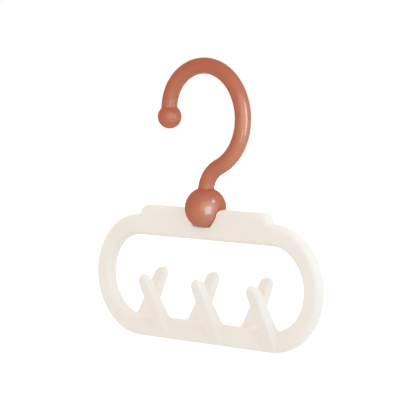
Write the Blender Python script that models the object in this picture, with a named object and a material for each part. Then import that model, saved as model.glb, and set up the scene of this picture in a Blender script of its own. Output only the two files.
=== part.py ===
"""A multi-hook hanger: a flat moulded frame with six leaning prongs, under a hook that swivels.

The hook, the swivel ball and the pin turn together. The frame turns under them, about the pin.
Lengths are in metres, +Z is up, and the frame lies along X. The world origin is the top of the hook's
inside, where the rail bears, on the swivel axis. The shapes are drawn from the centre of the frame's ring.
"""

import math

import bmesh
import bpy
from mathutils import Matrix, Vector

# Ring of the frame
RING_HALF_STRAIGHT = 0.0465
RING_OUTER_RADIUS = 0.0330
RING_INNER_RADIUS = 0.0216
RING_END_THINNING = 0.0008
FRAME_DEPTH = 0.0070
FRAME_EDGE_RADIUS = 0.0028
EDGE_LIMIT_SHARE = 0.92
RING_END_SEGMENTS = 36
EDGE_SEGMENTS = 3

# Saddle on top of the ring
SADDLE_HALF_LENGTH = 0.0464
SADDLE_RISE = 0.0053
SADDLE_CORNER_RADIUS = 0.0060
SADDLE_CORNER_SEGMENTS = 6

# Swivel ball, with a flat base
BALL_RADIUS = 0.0109
BALL_BASE_RADIUS = 0.0055
BALL_CENTRE_ABOVE_SADDLE = 0.00025
BALL_RING_SEGMENTS = 40
BALL_PROFILE_SEGMENTS = 20

# Notch in the saddle that the ball stands in
NOTCH_CLEARANCE = 0.0003
BALL_SEAT_GAP = 0.0003
NOTCH_WALL_LEAVES_ARC = math.radians(-42)
NOTCH_LIP_RADIUS = 0.0035
NOTCH_EDGE_ROUND = 0.0007
NOTCH_SEGMENTS = 8
SOCKET_SEGMENTS = 40
SOCKET_PROFILE_SEGMENTS = 9
LIP_SEGMENTS = 4

# Hook rod, from its foot in the ball to its tip
ROD_RADIUS = 0.0042
NECK_RADIUS = 0.0156
NECK_SWEEP = math.radians(66.8)
HOOK_RADIUS = 0.0273
HOOK_HANDOVER_ANGLE = math.radians(128)
HOOK_TIP_RADIUS = 0.0222
HOOK_TIP_ANGLE = math.radians(190)
TIP_BALL_RADIUS = 0.0063
FOOT_ABOVE_BALL_CENTRE = 0.00745
ROD_SIDES = 24
ROD_STEP = math.radians(7.5)
TIP_BALL_RINGS = 12

# Swivel pin, pushed up through the rail and the ball into the foot of the hook
PIN_RADIUS = 0.0011
PIN_IN_FOOT = 0.0040
PIN_POINT_CHAMFER = 0.0003
PIN_HEAD_RADIUS = 0.0017
PIN_HEAD_THICKNESS = 0.0012
COUNTERBORE_SHARE = 0.345
PIN_SIDES = 24

# Prongs along the bottom of the ring, by turns to the back and to the front
PRONG_COUNT = 6
PRONG_PITCH = 0.0191
PRONG_OUTER_LEAN = math.radians(26.7)
PRONG_INNER_LEAN = math.radians(30.3)
PRONG_ROOT_THICKNESS = 0.0063
PRONG_OUTER_FACE_SUNK = 0.0001
PRONG_INNER_FOOT_SUNK = 0.0010
PRONG_SHOULDER_RISE = 0.0206
PRONG_TIP_CAP = 0.0044
PRONG_ROOT_FACE_WIDTH = 0.0089
PRONG_TIP_FACE_WIDTH = 0.0070
PRONG_DRAFT_WIDTH = 0.0004
PRONG_CORNER_RADIUS = 0.0010
PRONG_ROOT_FILLET = 0.0024
PRONG_FILLET_STEPS = 5
PRONG_BODY_STEPS = 4
PRONG_CAP_STEPS = 5
PRONG_CORNER_SEGMENTS = 3

# Colours, from 0 to 255, and finishes
CREAM_COLOUR = (238, 228, 216)
CREAM_ROUGHNESS = 0.42
CORAL_COLOUR = (196, 120, 92)
CORAL_ROUGHNESS = 0.2
STEEL_COLOUR = (190, 190, 192)
STEEL_ROUGHNESS = 0.3
FULL_COLOUR = 255
GAMMA_TOE = 0.055
GAMMA_POWER = 2.4

# Fits and overruns
RUNNING_GAP = 0.0002
SEAT_GAP = 0.0003
CUT_OVERRUN = 0.0020
MERGE_DISTANCE = 0.0000002
SMOOTH_ANGLE = math.radians(32)

# Heights worked out from the sizes above, from the centre of the ring
SADDLE_TOP = RING_OUTER_RADIUS + SADDLE_RISE
RING_INNER_HALF_STRAIGHT = RING_HALF_STRAIGHT + RING_END_THINNING
RING_END_WALL = RING_OUTER_RADIUS - RING_INNER_RADIUS - RING_END_THINNING
EDGE_LIMIT = min(FRAME_DEPTH / 2, SADDLE_CORNER_RADIUS, RING_END_WALL / 2)
EDGE_RADIUS = min(FRAME_EDGE_RADIUS, EDGE_LIMIT * EDGE_LIMIT_SHARE)
BALL_CENTRE = SADDLE_TOP + BALL_CENTRE_ABOVE_SADDLE
BALL_BASE = BALL_CENTRE - math.sqrt(BALL_RADIUS**2 - BALL_BASE_RADIUS**2)
NOTCH_FLOOR = BALL_BASE - BALL_SEAT_GAP
HOOK_FOOT = BALL_CENTRE + FOOT_ABOVE_BALL_CENTRE
COUNTERBORE_SHOULDER = RING_INNER_RADIUS + (NOTCH_FLOOR - RING_INNER_RADIUS) * COUNTERBORE_SHARE
NECK_CENTRE = Vector((NECK_RADIUS, 0, HOOK_FOOT))


def in_plane(angle, length):
    """A vector in the plane of the frame, turned up from +X."""
    return Vector((math.cos(angle), 0, math.sin(angle))) * length


HOOK_CENTRE = NECK_CENTRE + in_plane(math.pi - NECK_SWEEP, NECK_RADIUS + HOOK_RADIUS)
TIP_ARC_CENTRE = HOOK_CENTRE + in_plane(HOOK_HANDOVER_ANGLE, HOOK_RADIUS - HOOK_TIP_RADIUS)
RAIL_SEAT = HOOK_CENTRE.z + HOOK_RADIUS - ROD_RADIUS


def linear(colour):
    """A colour picked by eye, as the shader's linear values with a full alpha."""
    shares = [value / FULL_COLOUR for value in colour]
    return [((share + GAMMA_TOE) / (1 + GAMMA_TOE)) ** GAMMA_POWER for share in shares] + [1]


def clear_scene():
    for obj in list(bpy.data.objects):
        bpy.data.objects.remove(obj)


def make_material(name, colour, roughness, metallic=0):
    material = bpy.data.materials.new(name)
    material.use_nodes = True
    shader = material.node_tree.nodes["Principled BSDF"]
    shader.inputs["Base Color"].default_value = colour
    shader.inputs["Roughness"].default_value = roughness
    shader.inputs["Metallic"].default_value = metallic
    return material


def add_empty(name, place, parent=None):
    empty = bpy.data.objects.new(name, None)
    empty.location = place
    empty.parent = parent
    bpy.context.collection.objects.link(empty)
    return empty


def add_object(name, bm, parent, material=None):
    """Turns a bmesh into an object, with its faces pointing out and its round faces smooth."""
    bmesh.ops.recalc_face_normals(bm, faces=bm.faces)
    mesh = bpy.data.meshes.new(name)
    bm.to_mesh(mesh)
    bm.free()
    mesh.shade_smooth()
    mesh.set_sharp_from_angle(angle=SMOOTH_ANGLE)
    obj = bpy.data.objects.new(name, mesh)
    obj.parent = parent
    if material:
        mesh.materials.append(material)
    bpy.context.collection.objects.link(obj)
    return obj


def add_tool(name, bm, parent):
    """A helper that only cuts or joins: it is never rendered."""
    tool = add_object(name, bm, parent)
    tool.hide_render = True
    tool.display_type = "WIRE"
    return tool


def add_boolean(obj, tool, operation):
    modifier = obj.modifiers.new(tool.name, "BOOLEAN")
    modifier.operation = operation
    modifier.solver = "EXACT"
    modifier.object = tool


def arc(centre_x, centre_z, radius, start, end, segments):
    """Points (x, z) of an arc, both ends included."""
    turn = (end - start) / segments
    angles = [start + turn * i for i in range(segments + 1)]
    return [(centre_x + radius * math.cos(a), centre_z + radius * math.sin(a)) for a in angles]


def add_loop(bm, points):
    """A closed loop of edges through these points."""
    verts = [bm.verts.new(p) for p in points]
    return [bm.edges.new((verts[i - 1], verts[i])) for i in range(len(verts))]


def loft(bm, loops):
    """Skins neighbouring loops of one point count, in order."""
    for first, second in zip(loops, loops[1:]):
        bmesh.ops.bridge_loops(bm, edges=first + second)


def cap(bm, loop):
    bmesh.ops.contextual_create(bm, geom=loop)


def turned(profile, sides):
    """A closed solid turned about Z, from (radius, z) points that run from the axis out and back to it."""
    bm = bmesh.new()
    verts = [bm.verts.new((r, 0, z)) for r, z in profile]
    edges = [bm.edges.new(pair) for pair in zip(verts, verts[1:])]
    bmesh.ops.spin(
        bm,
        geom=verts + edges,
        cent=(0, 0, 0),
        axis=(0, 0, 1),
        angle=math.tau,
        steps=sides,
        use_merge=True,
    )
    bmesh.ops.remove_doubles(bm, verts=bm.verts, dist=MERGE_DISTANCE)
    return bm


def half_outline(inset):
    """The right half of the outside, saddle included, drawn in by inset, from bottom to top.

    The saddle's end meets the ring on its straight top, or on its round end where the saddle is longer.
    """
    radius = RING_OUTER_RADIUS - inset
    down = -math.pi / 2
    saddle_end = SADDLE_HALF_LENGTH - inset
    if saddle_end < RING_HALF_STRAIGHT:
        side = arc(RING_HALF_STRAIGHT, 0, radius, down, math.pi / 2, RING_END_SEGMENTS)
        side.append((saddle_end, radius))
    else:
        end_angle = math.acos((saddle_end - RING_HALF_STRAIGHT) / radius)
        side = arc(RING_HALF_STRAIGHT, 0, radius, down, end_angle, RING_END_SEGMENTS + 1)
    foot_z = side[-1][1]
    corner_x = SADDLE_HALF_LENGTH - SADDLE_CORNER_RADIUS
    corner_z = SADDLE_TOP - SADDLE_CORNER_RADIUS
    corner_radius = SADDLE_CORNER_RADIUS - inset
    start = math.asin(max(0, foot_z - corner_z) / corner_radius)
    return side + arc(corner_x, corner_z, corner_radius, start, math.pi / 2, SADDLE_CORNER_SEGMENTS)


def outer_outline(inset):
    right = half_outline(inset)
    return right + [(-x, z) for x, z in reversed(right)]


def inner_outline(inset):
    """The ring's window, which grows by inset towards each face."""
    right = arc(
        RING_INNER_HALF_STRAIGHT,
        0,
        RING_INNER_RADIUS + inset,
        -math.pi / 2,
        math.pi / 2,
        RING_END_SEGMENTS,
    )
    return right + [(-x, z) for x, z in reversed(right)]


def edge_layers():
    """(y, inset) from the back face to the front face, round both rounded edges."""
    turns = [math.pi / 2 * i / EDGE_SEGMENTS for i in range(EDGE_SEGMENTS + 1)]
    straight = FRAME_DEPTH / 2 - EDGE_RADIUS
    front = [
        (-straight - EDGE_RADIUS * math.sin(t), EDGE_RADIUS * (1 - math.cos(t))) for t in turns
    ]
    back = [(-y, inset) for y, inset in reversed(front)]
    return back + front


def ring_and_saddle():
    bm = bmesh.new()
    stacks = []
    for outline in (outer_outline, inner_outline):
        loops = [
            add_loop(bm, [(x, y, z) for x, z in outline(inset)]) for y, inset in edge_layers()
        ]
        loft(bm, loops)
        stacks.append(loops)
    outer, inner = stacks
    for index in (0, -1):
        bmesh.ops.triangle_fill(bm, edges=outer[index] + inner[index], use_beauty=True)
    bmesh.ops.remove_doubles(bm, verts=bm.verts, dist=MERGE_DISTANCE)
    return bm


def meet(point, direction, other, other_direction):
    """Where two lines in the (out, up) plane cross."""
    across = direction.cross(other_direction)
    return point + direction * ((other - point).cross(other_direction) / across)


def prong_lines():
    """A prong's outer face and inner face, each from root to shoulder, and the prong's own direction.

    Points are (out, up) from the ring's centre. The outer face runs up from the round of the rail's
    lower edge, and the inner face from the top of the rail.
    """
    outer_way = Vector((math.sin(PRONG_OUTER_LEAN), math.cos(PRONG_OUTER_LEAN)))
    outward = Vector((outer_way.y, -outer_way.x))
    inner_way = Vector((math.sin(PRONG_INNER_LEAN), math.cos(PRONG_INNER_LEAN)))
    round_centre = Vector((FRAME_DEPTH / 2 - EDGE_RADIUS, EDGE_RADIUS - RING_OUTER_RADIUS))
    outer_root = round_centre + outward * (EDGE_RADIUS - PRONG_OUTER_FACE_SUNK)
    rail_top = Vector((0, -RING_INNER_RADIUS))
    level = Vector((1, 0))
    outer_crossing = meet(outer_root, outer_way, rail_top, level)
    inner_foot = meet(outer_crossing - outward * PRONG_ROOT_THICKNESS, outer_way, rail_top, level)
    axis = (outer_way + inner_way).normalized()
    across = Vector((axis.y, -axis.x))
    middle = (outer_crossing + inner_foot) / 2
    shoulder = middle + axis * (PRONG_SHOULDER_RISE / axis.y)
    outer_end = meet(shoulder, across, outer_root, outer_way)
    inner_end = meet(shoulder, across, inner_foot, inner_way)
    inner_root = inner_foot - inner_way * PRONG_INNER_FOOT_SUNK
    return outer_root, outer_end, inner_root, inner_end, axis


def prong_stations():
    """(share along the faces, side fillet, cap share) of each section from the root to the tip."""
    length = PRONG_SHOULDER_RISE + PRONG_INNER_FOOT_SUNK
    sunk_share = PRONG_INNER_FOOT_SUNK / length
    fillet_share = PRONG_ROOT_FILLET / length
    stations = [(0, PRONG_ROOT_FILLET, 0)]
    for i in range(PRONG_FILLET_STEPS + 1):
        turn = math.pi / 2 * i / PRONG_FILLET_STEPS
        climb = 1 - math.cos(turn)
        stations.append((sunk_share + fillet_share * climb, PRONG_ROOT_FILLET * (1 - math.sin(turn)), 0))
    start = sunk_share + fillet_share
    for i in range(1, PRONG_BODY_STEPS + 1):
        stations.append((start + (1 - start) * i / PRONG_BODY_STEPS, 0, 0))
    for i in range(1, PRONG_CAP_STEPS):
        stations.append((1, 0, math.sin(math.pi / 2 * i / PRONG_CAP_STEPS)))
    return stations


def prong_section(outer, inner, face_width, back_width, shrink):
    """A rounded trapezoid between an outer and an inner point, as (x, out, up)."""
    middle = (outer + inner) / 2
    across = (outer - inner) / 2
    half = across.length * shrink
    corners = [
        (face_width / 2 * shrink, half, 0),
        (-face_width / 2 * shrink, half, math.pi / 2),
        (-back_width / 2 * shrink, -half, math.pi),
        (back_width / 2 * shrink, -half, math.pi * 3 / 2),
    ]
    narrow = min(face_width, back_width) / 2 * shrink
    radius = min(PRONG_CORNER_RADIUS, half * EDGE_LIMIT_SHARE, narrow * EDGE_LIMIT_SHARE)
    points = []
    for x, out, start in corners:
        centre_x = x - math.copysign(radius, x)
        centre_out = out - math.copysign(radius, out)
        for i in range(PRONG_CORNER_SEGMENTS + 1):
            turn = start + math.pi / 2 * i / PRONG_CORNER_SEGMENTS
            place = middle + across.normalized() * (centre_out + radius * math.sin(turn))
            points.append((centre_x + radius * math.cos(turn), place.x, place.y))
    return points


def add_prong(bm, place_x, side):
    """One prong at place_x, leaning to the front (side -1) or to the back (side 1)."""
    outer_root, outer_end, inner_root, inner_end, axis = prong_lines()
    loops = []
    for share, fillet, climb in prong_stations():
        lift = axis * (PRONG_TIP_CAP * climb)
        outer = outer_root.lerp(outer_end, share) + lift
        inner = inner_root.lerp(inner_end, share) + lift
        face = PRONG_ROOT_FACE_WIDTH + (PRONG_TIP_FACE_WIDTH - PRONG_ROOT_FACE_WIDTH) * share
        back = face + PRONG_DRAFT_WIDTH + fillet + fillet
        shrink = math.sqrt(1 - climb**2)
        section = prong_section(outer, inner, face, back, shrink)
        loops.append(add_loop(bm, [(place_x + x, side * out, up) for x, out, up in section]))
    loft(bm, loops)
    cap(bm, loops[0])
    cap(bm, loops[-1])


def prongs():
    bm = bmesh.new()
    first = -PRONG_PITCH * (PRONG_COUNT - 1) / 2
    for i in range(PRONG_COUNT):
        add_prong(bm, first + PRONG_PITCH * i, -1 if i % 2 else 1)
    return bm


def notch_half(growth):
    """The right half of the notch's outline, widened by growth, from the floor's corner up past the saddle.

    The wall is the ball's round where it leaves the faces, and runs down from it in a straight line.
    """
    radius = math.sqrt((BALL_RADIUS + NOTCH_CLEARANCE) ** 2 - (FRAME_DEPTH / 2) ** 2)
    lip_z = SADDLE_TOP - NOTCH_LIP_RADIUS
    lip_x = math.sqrt((radius + NOTCH_LIP_RADIUS) ** 2 - (lip_z - BALL_CENTRE) ** 2)
    lip_angle = math.atan2(lip_z - BALL_CENTRE, lip_x)
    side = arc(0, BALL_CENTRE, radius + growth, NOTCH_WALL_LEAVES_ARC, lip_angle, NOTCH_SEGMENTS)
    lip = arc(lip_x, lip_z, NOTCH_LIP_RADIUS - growth, lip_angle + math.pi, math.pi / 2, LIP_SEGMENTS)
    leave_x, leave_z = side[0]
    floor_z = NOTCH_FLOOR - growth
    floor_x = leave_x + (leave_z - floor_z) * math.tan(NOTCH_WALL_LEAVES_ARC)
    return [(floor_x, floor_z)] + side + lip[1:] + [(lip_x, SADDLE_TOP + CUT_OVERRUN)]


def notch():
    """The notch's cutter, flared at both faces so that the notch has rounded edges."""
    bm = bmesh.new()
    face = FRAME_DEPTH / 2
    layers = [(-face - CUT_OVERRUN, NOTCH_EDGE_ROUND)]
    for i in range(EDGE_SEGMENTS + 1):
        turn = math.pi / 2 * i / EDGE_SEGMENTS
        growth = NOTCH_EDGE_ROUND * (1 - math.sin(turn))
        layers.append((NOTCH_EDGE_ROUND * (1 - math.cos(turn)) - face, growth))
    layers += [(-y, growth) for y, growth in reversed(layers)]
    loops = []
    for y, growth in layers:
        right = notch_half(growth)
        outline = right + [(-x, z) for x, z in reversed(right)]
        loops.append(add_loop(bm, [(x, y, z) for x, z in outline]))
    loft(bm, loops)
    cap(bm, loops[0])
    cap(bm, loops[-1])
    return bm


def ball_socket():
    """The round hollow in the middle of the notch that clears the ball."""
    radius = BALL_RADIUS + NOTCH_CLEARANCE
    low = math.asin((NOTCH_FLOOR - BALL_CENTRE) / radius)
    side = arc(0, BALL_CENTRE, radius, low, 0, SOCKET_PROFILE_SEGMENTS)
    top = SADDLE_TOP + CUT_OVERRUN
    return turned([(0, NOTCH_FLOOR)] + side + [(radius, top), (0, top)], SOCKET_SEGMENTS)


def pin_way():
    """The bore and the counterbore that the pin runs in."""
    bore = PIN_RADIUS + RUNNING_GAP
    head = PIN_HEAD_RADIUS + SEAT_GAP
    low = RING_INNER_RADIUS - CUT_OVERRUN
    high = NOTCH_FLOOR + CUT_OVERRUN
    profile = [(0, low), (head, low), (head, COUNTERBORE_SHOULDER)]
    profile += [(bore, COUNTERBORE_SHOULDER), (bore, high), (0, high)]
    return turned(profile, PIN_SIDES)


def make_frame(parent, material):
    frame = add_object("frame", ring_and_saddle(), parent, material)
    add_boolean(frame, add_tool("prong_shapes", prongs(), parent), "UNION")
    add_boolean(frame, add_tool("notch_cutter", notch(), parent), "DIFFERENCE")
    add_boolean(frame, add_tool("ball_socket_cutter", ball_socket(), parent), "DIFFERENCE")
    add_boolean(frame, add_tool("pin_way_cutter", pin_way(), parent), "DIFFERENCE")
    return frame


def rod(radius, foot):
    """The rod's tube along its three arcs, from the height of its foot to its tip, with flat ends."""
    bm = bmesh.new()
    made = bmesh.ops.create_circle(
        bm,
        segments=ROD_SIDES,
        radius=radius,
        matrix=Matrix.Translation((0, 0, foot)),
    )
    edges = list({e for v in made["verts"] for e in v.link_edges})
    cap(bm, edges)
    if foot < HOOK_FOOT:
        made = bmesh.ops.extrude_edge_only(bm, edges=edges)["geom"]
        verts = [g for g in made if isinstance(g, bmesh.types.BMVert)]
        bmesh.ops.translate(bm, verts=verts, vec=(0, 0, HOOK_FOOT - foot))
        edges = [g for g in made if isinstance(g, bmesh.types.BMEdge)]
    bends = [
        (NECK_CENTRE, NECK_SWEEP),
        (HOOK_CENTRE, -(HOOK_HANDOVER_ANGLE + NECK_SWEEP)),
        (TIP_ARC_CENTRE, -(HOOK_TIP_ANGLE - HOOK_HANDOVER_ANGLE)),
    ]
    for centre, angle in bends:
        verts = list({v for e in edges for v in e.verts})
        made = bmesh.ops.spin(
            bm,
            geom=verts + edges,
            cent=centre,
            axis=(0, 1, 0),
            angle=angle,
            steps=max(1, round(abs(angle) / ROD_STEP)),
        )
        edges = [g for g in made["geom_last"] if isinstance(g, bmesh.types.BMEdge)]
    cap(bm, edges)
    return bm


def tip_ball():
    bm = bmesh.new()
    place = TIP_ARC_CENTRE + in_plane(HOOK_TIP_ANGLE, HOOK_TIP_RADIUS)
    bmesh.ops.create_uvsphere(
        bm,
        u_segments=ROD_SIDES,
        v_segments=TIP_BALL_RINGS,
        radius=TIP_BALL_RADIUS,
        matrix=Matrix.Translation(place),
    )
    return bm


def pin_hole():
    """The hole in the hook's foot and through the ball that the pin's shank fills."""
    hole = PIN_RADIUS + SEAT_GAP
    low = BALL_BASE - CUT_OVERRUN
    high = HOOK_FOOT + PIN_IN_FOOT + SEAT_GAP
    return turned([(0, low), (hole, low), (hole, high), (0, high)], PIN_SIDES)


def make_hook(parent, material):
    hook = add_object("hook", rod(ROD_RADIUS, HOOK_FOOT), parent, material)
    add_boolean(hook, add_tool("tip_ball_shape", tip_ball(), parent), "UNION")
    add_boolean(hook, add_tool("foot_hole_cutter", pin_hole(), parent), "DIFFERENCE")
    return hook


def make_ball(parent, material):
    base = math.atan2(BALL_BASE - BALL_CENTRE, BALL_BASE_RADIUS)
    side = arc(0, BALL_CENTRE, BALL_RADIUS, base, math.pi / 2, BALL_PROFILE_SEGMENTS)
    profile = [(0, BALL_BASE)] + side[:-1] + [(0, BALL_CENTRE + BALL_RADIUS)]
    ball = add_object("swivel_ball", turned(profile, BALL_RING_SEGMENTS), parent, material)
    socket = add_tool("socket_cutter", rod(ROD_RADIUS + SEAT_GAP, HOOK_FOOT - SEAT_GAP), parent)
    add_boolean(ball, socket, "DIFFERENCE")
    add_boolean(ball, add_tool("ball_hole_cutter", pin_hole(), parent), "DIFFERENCE")
    return ball


def make_pin(parent, material):
    head_top = COUNTERBORE_SHOULDER - SEAT_GAP
    head_base = head_top - PIN_HEAD_THICKNESS
    top = HOOK_FOOT + PIN_IN_FOOT
    profile = [
        (0, head_base),
        (PIN_HEAD_RADIUS - PIN_POINT_CHAMFER, head_base),
        (PIN_HEAD_RADIUS, head_base + PIN_POINT_CHAMFER),
        (PIN_HEAD_RADIUS, head_top),
        (PIN_RADIUS, head_top),
        (PIN_RADIUS, top - PIN_POINT_CHAMFER),
        (PIN_RADIUS - PIN_POINT_CHAMFER, top),
        (0, top),
    ]
    return add_object("swivel_pin", turned(profile, PIN_SIDES), parent, material)


def main():
    clear_scene()
    cream = make_material("cream_plastic", linear(CREAM_COLOUR), CREAM_ROUGHNESS)
    coral = make_material("coral_plastic", linear(CORAL_COLOUR), CORAL_ROUGHNESS)
    steel = make_material("pin_steel", linear(STEEL_COLOUR), STEEL_ROUGHNESS, 1)
    rail_seat = add_empty("rail_seat", (0, 0, 0))
    hook_root = add_empty("hook_root", (0, 0, -RAIL_SEAT), rail_seat)
    swivel_axis = add_empty("swivel_axis", (0, 0, -RAIL_SEAT), rail_seat)
    make_hook(hook_root, coral)
    make_ball(hook_root, coral)
    make_pin(hook_root, steel)
    make_frame(swivel_axis, cream)


main()
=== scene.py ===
"""A multi-hook hanger: a cream frame with six leaning prongs, under a coral hook that swivels in a ball.

Lengths are in metres. The pieces are drawn from the centre of the frame's ring, +X along the frame and +Z up,
and are lifted to the ring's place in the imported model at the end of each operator.
"""

import math

import bmesh
import bpy
from bpy.props import FloatProperty, FloatVectorProperty, IntProperty, PointerProperty
from mathutils import Matrix, Vector


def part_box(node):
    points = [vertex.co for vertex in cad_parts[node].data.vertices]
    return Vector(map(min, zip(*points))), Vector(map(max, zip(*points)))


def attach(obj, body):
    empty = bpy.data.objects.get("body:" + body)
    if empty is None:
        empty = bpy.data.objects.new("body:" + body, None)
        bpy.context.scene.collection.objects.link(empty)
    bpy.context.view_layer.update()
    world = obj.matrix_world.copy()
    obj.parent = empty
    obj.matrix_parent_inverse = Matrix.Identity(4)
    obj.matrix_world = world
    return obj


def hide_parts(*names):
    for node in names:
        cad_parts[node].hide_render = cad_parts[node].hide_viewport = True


bl_info = {
    "name": "Multi-hook hanger",
    "version": (1, 0, 0),
    "blender": (4, 5, 0),
    "location": "View3D > Sidebar > Hanger",
    "description": "Builds a moulded hanger with six prongs and a swivel hook, and its studio",
    "category": "Object",
}

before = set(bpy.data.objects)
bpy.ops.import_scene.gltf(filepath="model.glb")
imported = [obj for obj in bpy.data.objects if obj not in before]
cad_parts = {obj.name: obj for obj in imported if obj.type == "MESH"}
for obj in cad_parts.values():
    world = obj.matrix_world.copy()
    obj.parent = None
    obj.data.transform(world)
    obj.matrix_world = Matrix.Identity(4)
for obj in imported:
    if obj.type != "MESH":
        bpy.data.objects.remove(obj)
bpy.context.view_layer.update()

IMAGE_WIDTH = 416
FRAME_LOW, FRAME_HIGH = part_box("frame")
BALL_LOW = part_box("swivel_ball")[0]
FRONT = -1
BACK = 1
WELD = 0.000001
OVERRUN = 0.002
ROUND_LIMIT = 0.92
QUARTER = math.pi / 2
SMOOTH_ANGLE = math.radians(35)

# How finely the rounds are drawn.
ARC_STEPS = 72
ROUND_STEPS = 8
SADDLE_CORNER_STEPS = 12
PRONG_CORNER_STEPS = 5
PRONG_BODY_STEPS = 8
PRONG_TIP_STEPS = 12
NOTCH_WALL_STEPS = 14
NOTCH_LIP_STEPS = 10
NOTCH_EDGE_STEPS = 5
SOCKET_STEPS = 16
SOCKET_SIDES = 72
BALL_SIDES = 120
PIN_SIDES = 48
ROD_SIDES = 64
ROD_STEP = math.radians(2)
TIP_BEND_STEPS = 6
TIP_BALL_STEPS = 31
FLOOR_SIDES = 96

# Where the notch's rounded edge leaves the face, how far a prong starts inside the rail as a share of its
# height, and how far before the ball the hook's tip is drawn ring by ring.
EDGE_LEAVE = math.radians(30)
PRONG_BURIED = 0.05
TIP_STOP = math.radians(25)

# The painted highlight on the notch's rounded edges: distances from the ball's centre, slants of the surface,
# and room under the lip.
HIGHLIGHT_REACH = (0.0128, 0.0136)
HIGHLIGHT_OFF_WALL = (0.36, 0.5)
HIGHLIGHT_OFF_FACE = (0.93, 0.985)
HIGHLIGHT_UNDER_LIP = 0.0015

# The middle of a noise's values, over which tints and roughnesses wander.
NOISE_LOW = 0.3
NOISE_HIGH = 0.7

CREAM_SCATTER = (1.0, 0.6, 0.4)
WHITE = (1, 1, 1, 1)
FULL_COLOUR = 255
GAMMA_TOE = 0.055
GAMMA_POWER = 2.4
SENSOR_WIDTH = 36
NEAR_CLIP = 0.01

# What the lamps aim at, from the ring's centre: the ball, the hook's long side and its tip.
BALL_AIM = Vector((0, 0, 0.0385))
SIDE_AIM = Vector((0.03, 0, 0.081))
TIP_AIM = Vector((-0.02, 0, 0.08))
KEY_PLACE = (80, 15, 1.6)
KEY_SIZE = (1.3, 1.6)
# Lamps for the coral pieces: name, aim, (azimuth, elevation, distance), (width, height), the studio's
# brightness and tint, and the pieces that it lights.
CORAL_LAMPS = (
    ("front_glow", BALL_AIM, (58, 0, 1.1), (2.4, 1.6), "front_glow", "lamplight", ("hook_rod", "ball_bead")),
    ("low_fill", BALL_AIM, (72, -34, 0.34), (0.4, 0.14), "low_fill", "low_tint", ("hook_rod", "ball_bead")),
    ("side_strip", SIDE_AIM, (95.5, 0, 0.3), (0.085, 0.32), "side_glint", "daylight", ("hook_rod",)),
    ("ball_lamp", BALL_AIM, (57, -9, 0.28), (0.18, 0.22), "ball_glint", "daylight", ("ball_bead",)),
    ("ball_high_lamp", BALL_AIM, (96, 36, 0.28), (0.07, 0.06), "high_glint", "daylight", ("ball_bead",)),
    ("tip_lamp", TIP_AIM, (55, -20, 0.5), (0.13, 0.10), "tip_glint", "daylight", ("hook_rod",)),
)


def length(name, description, default):
    return FloatProperty(name=name, description=description, default=default, unit="LENGTH", precision=5)


def angle(name, description, degrees):
    return FloatProperty(name=name, description=description, default=math.radians(degrees), unit="ROTATION")


def number(name, description, default):
    return FloatProperty(name=name, description=description, default=default, precision=4)


def count(name, description, default):
    return IntProperty(name=name, description=description, default=default)


def colour(name, description, red, green, blue):
    """A colour property whose default is given as it looks on a screen, from 0 to 255."""
    shares = [channel / FULL_COLOUR for channel in (red, green, blue)]
    linear = [((share + GAMMA_TOE) / (1 + GAMMA_TOE)) ** GAMMA_POWER for share in shares]
    return FloatVectorProperty(
        name=name, description=description, default=linear, subtype="COLOR", size=3, min=0, max=1
    )


class HangerFrameSizes(bpy.types.PropertyGroup):
    ring_outer_radius: length("Ring outer radius", "Half the height of the ring", 0.0330)
    ring_inner_radius: length("Ring inner radius", "Half the height of the ring's window", 0.0216)
    end_thinning: length("End thinning", "How much thinner the ring is at its ends", 0.0008)
    depth: length("Depth", "Thickness of the ring from front to back", 0.0070)
    edge_radius: length("Edge radius", "Round of the ring's long edges", 0.0028)
    saddle_half_length: length("Saddle half length", "From the swivel axis to the saddle's end", 0.0464)
    saddle_rise: length("Saddle rise", "Height of the saddle over the ring", 0.0053)
    saddle_corner: length("Saddle corner", "Round of the saddle's ends, seen from the front", 0.0060)
    prong_count: count("Prongs", "Number of prongs, by turns to back and front", 6)
    prong_pitch: length("Prong pitch", "Distance between neighbouring prongs", 0.0191)
    prong_outer_lean: angle("Outer lean", "Lean of a prong's outer face from upright", 26.7)
    prong_inner_lean: angle("Inner lean", "Lean of a prong's inner face from upright", 30.3)
    prong_thickness: length("Prong thickness", "Thickness of a prong at the top of the rail", 0.0063)
    prong_rise: length("Prong rise", "Height of a prong's shoulder over the rail", 0.02058)
    prong_tip: length("Prong tip", "Length of the rounded tip past the shoulder", 0.0044)
    prong_root_width: length("Root width", "Width of a prong's outer face at its root", 0.0089)
    prong_tip_width: length("Tip width", "Width of a prong's outer face at its shoulder", 0.0070)
    prong_draft: length("Draft", "How much wider the inner face is than the outer", 0.0004)
    prong_corner: length("Prong corner", "Round of a prong's long corners", 0.0010)
    prong_sunk: length("Prong sunk", "How far its outer face lies inside the rail's round", 0.0001)
    prong_fillet: length("Root fillet", "Round of a prong's sides where they meet the rail", 0.0024)
    notch_gap: length("Notch gap", "Room between the ball and the notch", 0.0003)
    notch_leave: angle("Notch wall", "Where the notch's wall leaves the ball's round", -42)
    notch_lip: length("Notch lip", "Round where the notch meets the top of the saddle", 0.0035)
    notch_edge: length("Notch edge", "Round of the notch's edges on both faces", 0.0012)
    grain: length("Skin size", "Size of the faces of the moulded skin", 0.00047)
    soften_share: number("Soften share", "How far each smoothing of the skin goes", 0.5)
    soften_rounds: count("Soften rounds", "How often the skin is smoothed", 4)


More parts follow.
